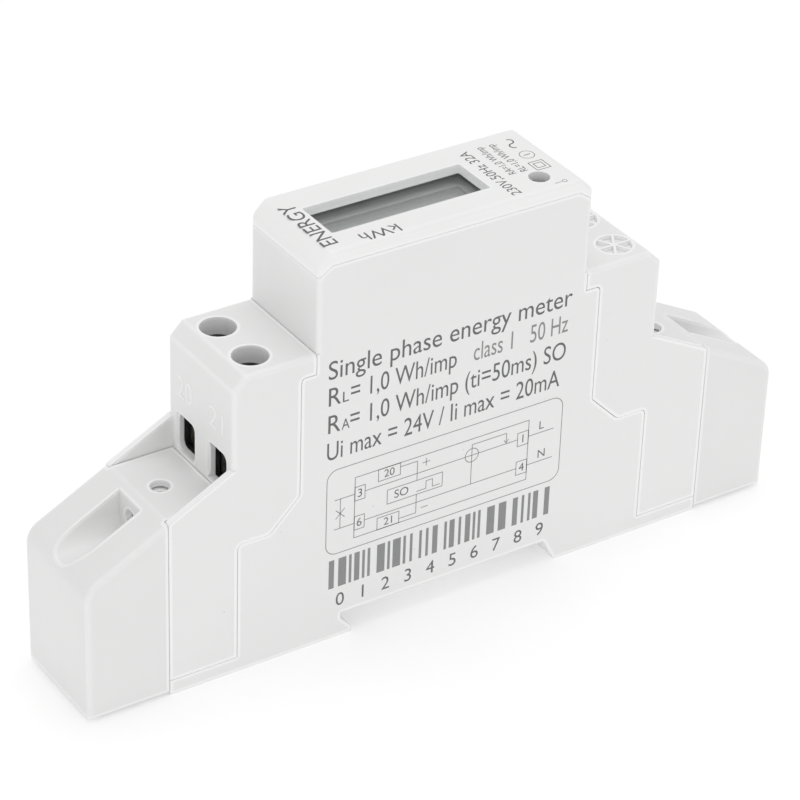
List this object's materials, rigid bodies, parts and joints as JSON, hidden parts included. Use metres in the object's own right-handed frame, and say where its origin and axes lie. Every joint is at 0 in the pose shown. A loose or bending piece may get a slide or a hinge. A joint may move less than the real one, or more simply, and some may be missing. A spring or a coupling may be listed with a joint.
{
  "type": "electric energy meter",
  "caption": "One-module DIN-rail energy meter: stepped narrow case, display head, pulse-output terminals, sealed end covers over rising-clamp supply terminals, sprung rail latch.",
  "frame": {"origin": "centre of the footprint, on the plane of the rail feet's undersides", "axes": "+X along the length, from the pulse-output end to the blank end; +Y from the label side to the plain side; +Z from the rail to the display"},
  "size_m": [0.118, 0.0178, 0.0644],
  "materials": {
    "housing_plastic": "fine-grained moulded thermoplastic, light grey white",
    "cover_plastic": "fine-grained moulded thermoplastic, light grey white",
    "bezel_plastic": "smooth moulded thermoplastic, light grey white",
    "clear_window": "clear polycarbonate, polished",
    "lcd_glass": "grey reflective display glass",
    "inner_plastic": "plain moulded plastic",
    "elastomer": "layered conductive elastomer",
    "led_epoxy": "water-clear epoxy",
    "terminal_black": "black glass-filled moulded plastic",
    "board_laminate": "glass-epoxy laminate with solder mask",
    "header_plastic": "black moulded plastic",
    "copper": "stamped copper, tinned at the clamps",
    "shunt_alloy": "resistance alloy",
    "capacitor_box": "moulded box",
    "varistor_coat": "dipped epoxy coat",
    "capacitor_sleeve": "shrink sleeve over an aluminium can",
    "diode_epoxy": "moulded epoxy",
    "resistor_coat": "cement coat",
    "chip_epoxy": "moulded epoxy",
    "optocoupler_epoxy": "moulded epoxy",
    "crystal_can": "drawn metal can",
    "ceramic": "fired ceramic with tinned ends",
    "red_insulation": "wire insulation",
    "black_insulation": "wire insulation",
    "latch_plastic": "moulded plastic",
    "spring_steel": "drawn spring wire",
    "solder": "bright solder",
    "clamp_steel": "zinc-plated pressed steel",
    "screw_steel": "zinc-plated steel",
    "contact_brass": "stamped brass"
  },
  "bodies": {
    "housing": {"blank_shoulder_housing": "housing_plastic", "board_header": "header_plastic", "chip_parts": "ceramic", "controller_chip": "chip_epoxy", "crystal": "crystal_can", "current_shunt": "shunt_alloy", "display_bezel": "bezel_plastic", "display_board": "board_laminate", "display_window": "clear_window", "electrolytic_capacitor": "capacitor_sleeve", "film_capacitor": "capacitor_box", "fusible_resistor": "resistor_coat", "latch_spring": "spring_steel", "lcd_connectors": "elastomer", "lcd_frame": "inner_plastic", "lcd_panel": "lcd_glass", "left_live_bar": "copper", "main_housing": "housing_plastic", "metering_board": "board_laminate", "metering_chip": "chip_epoxy", "neutral_bar": "copper", "neutral_wire": "black_insulation", "optocoupler": "optocoupler_epoxy", "pulse_contact_1": "contact_brass", "pulse_contact_2": "contact_brass", "pulse_led": "led_epoxy", "pulse_shoulder_housing": "housing_plastic", "pulse_terminal_block": "terminal_black", "rectifier_diodes": "diode_epoxy", "right_live_bar": "copper", "sense_wires": "red_insulation", "solder_joints": "solder", "varistor": "varistor_coat"},
    "left_cover": {"left_terminal_cover": "cover_plastic"},
    "right_cover": {"right_terminal_cover": "cover_plastic"},
    "latch": {"rail_latch": "latch_plastic"},
    "left_screw_1": {"left_screw_1": "screw_steel"},
    "left_cage_1": {"left_cage_1": "clamp_steel"},
    "left_screw_2": {"left_screw_2": "screw_steel"},
    "left_cage_2": {"left_cage_2": "clamp_steel"},
    "pulse_screw_1": {"pulse_screw_1": "screw_steel"},
    "pulse_cage_1": {"pulse_cage_1": "clamp_steel"},
    "pulse_screw_2": {"pulse_screw_2": "screw_steel"},
    "pulse_cage_2": {"pulse_cage_2": "clamp_steel"},
    "right_screw_1": {"right_screw_1": "screw_steel"},
    "right_cage_1": {"right_cage_1": "clamp_steel"},
    "right_screw_2": {"right_screw_2": "screw_steel"},
    "right_cage_2": {"right_cage_2": "clamp_steel"}
  },
  "joints": [
    {"name": "left_cover_slide", "type": "slide", "parent": "housing", "child": "left_cover", "axis": [-1, 0, 0], "range_m": [0, 0.014]},
    {"name": "right_cover_slide", "type": "slide", "parent": "housing", "child": "right_cover", "axis": [1, 0, 0], "range_m": [0, 0.014]},
    {"name": "rail_latch_slide", "type": "slide", "parent": "housing", "child": "latch", "axis": [1, 0, 0], "range_m": [0, 0.0032], "stiffness_N_per_m": 600, "springref_m": -0.002, "deforming": ["latch_spring"]},
    {"name": "left_cage_1_rise", "type": "slide", "parent": "housing", "child": "left_cage_1", "axis": [0, 0, 1], "range_m": [0, 0.0042]},
    {"name": "left_screw_1_turn", "type": "hinge", "parent": "housing", "child": "left_screw_1", "pos_m": [-0.041, -0.00435, 0.022], "axis": [0, 0, -1], "range_deg": [0, 1896]},
    {"name": "left_cage_2_rise", "type": "slide", "parent": "housing", "child": "left_cage_2", "axis": [0, 0, 1], "range_m": [0, 0.0042]},
    {"name": "left_screw_2_turn", "type": "hinge", "parent": "housing", "child": "left_screw_2", "pos_m": [-0.041, 0.00435, 0.022], "axis": [0, 0, -1], "range_deg": [0, 1896]},
    {"name": "pulse_cage_1_rise", "type": "slide", "parent": "housing", "child": "pulse_cage_1", "axis": [0, 0, 1], "range_m": [0, 0.0032]},
    {"name": "pulse_screw_1_turn", "type": "hinge", "parent": "housing", "child": "pulse_screw_1", "pos_m": [-0.0306, -0.00435, 0.038], "axis": [0, 0, -1], "range_deg": [0, 2310]},
    {"name": "pulse_cage_2_rise", "type": "slide", "parent": "housing", "child": "pulse_cage_2", "axis": [0, 0, 1], "range_m": [0, 0.0032]},
    {"name": "pulse_screw_2_turn", "type": "hinge", "parent": "housing", "child": "pulse_screw_2", "pos_m": [-0.0306, 0.00435, 0.038], "axis": [0, 0, -1], "range_deg": [0, 2310]},
    {"name": "right_cage_1_rise", "type": "slide", "parent": "housing", "child": "right_cage_1", "axis": [0, 0, 1], "range_m": [0, 0.0042]},
    {"name": "right_screw_1_turn", "type": "hinge", "parent": "housing", "child": "right_screw_1", "pos_m": [0.041, -0.00435, 0.022], "axis": [0, 0, -1], "range_deg": [0, 1896]},
    {"name": "right_cage_2_rise", "type": "slide", "parent": "housing", "child": "right_cage_2", "axis": [0, 0, 1], "range_m": [0, 0.0042]},
    {"name": "right_screw_2_turn", "type": "hinge", "parent": "housing", "child": "right_screw_2", "pos_m": [0.041, 0.00435, 0.022], "axis": [0, 0, -1], "range_deg": [0, 1896]}
  ],
  "couplings": [
    {"joint": "left_screw_1_turn", "follows": "left_cage_1_rise", "rad_per_m": 7854},
    {"joint": "left_screw_2_turn", "follows": "left_cage_2_rise", "rad_per_m": 7854},
    {"joint": "pulse_screw_1_turn", "follows": "pulse_cage_1_rise", "rad_per_m": 12566},
    {"joint": "pulse_screw_2_turn", "follows": "pulse_cage_2_rise", "rad_per_m": 12566},
    {"joint": "right_screw_1_turn", "follows": "right_cage_1_rise", "rad_per_m": 7854},
    {"joint": "right_screw_2_turn", "follows": "right_cage_2_rise", "rad_per_m": 7854}
  ]
}
